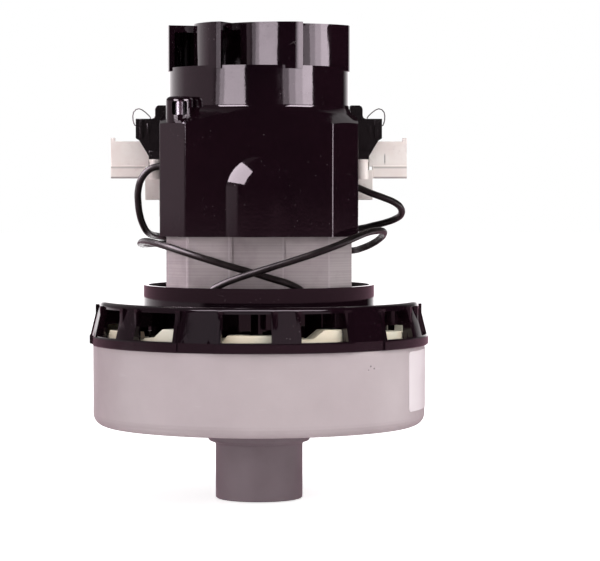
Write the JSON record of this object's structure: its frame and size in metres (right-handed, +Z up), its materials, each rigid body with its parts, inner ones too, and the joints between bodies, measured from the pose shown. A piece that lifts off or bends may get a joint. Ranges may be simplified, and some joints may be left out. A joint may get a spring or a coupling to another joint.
{
  "type": "vacuum motor",
  "caption": "Upright vacuum motor with a round fan shell, windowed discharge ring, black shroud, pinwheel vent cap, side brush holders and wrapped leads.",
  "frame": {"origin": "centre of the inlet tube's open end, on the shaft's axis", "axes": "+Z up the shaft towards the vent cap, -Y towards the front face that the picture shows, brush tubes along X"},
  "size_m": [0.148, 0.148, 0.2058],
  "materials": {
    "tube_plastic": "satin grey moulded plastic",
    "shell_paint": "satin light grey paint on pressed steel",
    "label_white": "plain white film",
    "black_moulding": "glossy black moulding",
    "cream_moulding": "cream moulded plastic",
    "laminations": "varnished steel laminations",
    "sheet_steel": "plated sheet steel",
    "bright_steel": "ground steel",
    "fan_aluminium": "pressed aluminium",
    "copper_winding": "enamelled copper wire",
    "commutator_copper": "copper bars",
    "carbon": "pressed carbon",
    "lead_insulation": "black wire insulation",
    "sleeve": "crimp sleeve insulation",
    "shunt_wire": "tinned copper wire"
  },
  "bodies": {
    "root": {"inlet_tube": "tube_plastic", "fan_shell": "shell_paint", "shell_label": "label_white", "fan_bracket": "black_moulding", "discharge_diffuser": "cream_moulding", "diffuser_screws": "bright_steel", "stationary_fan": "fan_aluminium", "field_stack": "laminations", "front_field_coil": "copper_winding", "rear_field_coil": "copper_winding", "motor_shroud": "black_moulding", "vent_cap": "black_moulding", "through_bolts": "bright_steel", "left_brush_tube": "sheet_steel", "right_brush_tube": "sheet_steel", "left_brush_insulator": "black_moulding", "right_brush_insulator": "black_moulding", "left_brush_clamp": "sheet_steel", "right_brush_clamp": "sheet_steel", "left_terminal_post": "sheet_steel", "right_terminal_post": "sheet_steel", "left_brush_shunt": "shunt_wire", "right_brush_shunt": "shunt_wire", "left_brush_spring": "bright_steel", "right_brush_spring": "bright_steel", "left_lead": "lead_insulation", "right_lead": "lead_insulation", "left_lead_sleeve": "sleeve", "right_lead_sleeve": "sleeve", "lower_bearing_outer": "bright_steel", "lower_bearing_balls": "bright_steel", "upper_bearing_outer": "bright_steel", "upper_bearing_balls": "bright_steel"},
    "rotor": {"shaft": "bright_steel", "first_impeller": "fan_aluminium", "second_impeller": "fan_aluminium", "impeller_spacer": "bright_steel", "bearing_spacer": "bright_steel", "impeller_washer": "bright_steel", "impeller_nut": "bright_steel", "armature_core": "laminations", "armature_winding": "copper_winding", "commutator": "commutator_copper", "vent_fan": "black_moulding", "vent_fan_nut": "bright_steel", "lower_bearing_inner": "bright_steel", "upper_bearing_inner": "bright_steel"},
    "left_brush_body": {"left_brush": "carbon"},
    "right_brush_body": {"right_brush": "carbon"}
  },
  "joints": [
    {"name": "rotor_spin", "type": "hinge", "parent": "root", "child": "rotor", "pos_m": [0, 0, 0.123], "axis": [0, 0, 1], "continuous": true},
    {"name": "left_brush_slide", "type": "slide", "parent": "root", "child": "left_brush_body", "axis": [-1, 0, 0], "range_m": [0, 0.008], "stiffness_N_per_m": 250, "springref_m": -0.012, "deforming": ["left_brush_spring"]},
    {"name": "right_brush_slide", "type": "slide", "parent": "root", "child": "right_brush_body", "axis": [1, 0, 0], "range_m": [0, 0.008], "stiffness_N_per_m": 250, "springref_m": -0.012, "deforming": ["right_brush_spring"]}
  ]
}
